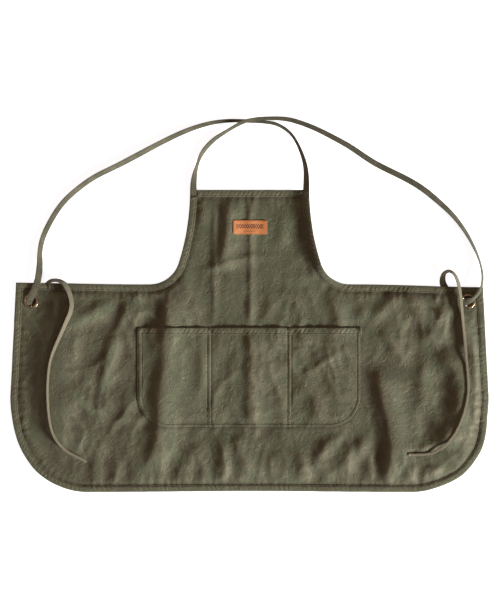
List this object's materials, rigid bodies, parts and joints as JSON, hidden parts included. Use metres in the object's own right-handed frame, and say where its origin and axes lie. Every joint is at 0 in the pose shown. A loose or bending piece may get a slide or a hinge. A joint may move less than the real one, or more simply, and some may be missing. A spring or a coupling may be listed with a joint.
{
  "type": "canvas work apron",
  "caption": "Olive canvas apron laid flat, with a patch pocket, a leather patch, brass eyelets and crossed straps.",
  "frame": {"origin": "under the middle of the cloth, on the surface that it lies on", "axes": "+X to the right as seen from the front, +Y towards the bib, +Z out of the front of the cloth"},
  "size_m": [1.1, 0.8671, 0.0255],
  "materials": {
    "canvas": "washed cotton canvas, matt",
    "cotton_tape": "folded cotton tape, matt",
    "leather": "vegetable tanned, satin",
    "antique_brass": "aged, satin",
    "thread": "spun thread, matt"
  },
  "bodies": {
    "root": {"apron_body": "canvas", "bib_top_binding": "canvas", "armhole_left_binding": "canvas", "armhole_right_binding": "canvas", "waist_left_binding": "canvas", "waist_right_binding": "canvas", "skirt_binding": "canvas", "pocket_panel": "canvas", "pocket_mouth_hem": "canvas", "strap_left": "cotton_tape", "strap_right": "cotton_tape", "label_patch": "leather", "eyelet_left": "antique_brass", "eyelet_right": "antique_brass", "eyelet_washer_left": "antique_brass", "eyelet_washer_right": "antique_brass", "bib_top_stitching": "thread", "armhole_left_stitching": "thread", "armhole_right_stitching": "thread", "waist_left_stitching": "thread", "waist_right_stitching": "thread", "skirt_stitching": "thread", "pocket_outer_stitching": "thread", "pocket_inner_stitching": "thread", "divider_left_stitching": "thread", "divider_right_stitching": "thread", "pocket_mouth_stitching": "thread", "pocket_bar_tacks": "thread", "label_stitching": "thread"}
  },
  "joints": []
}
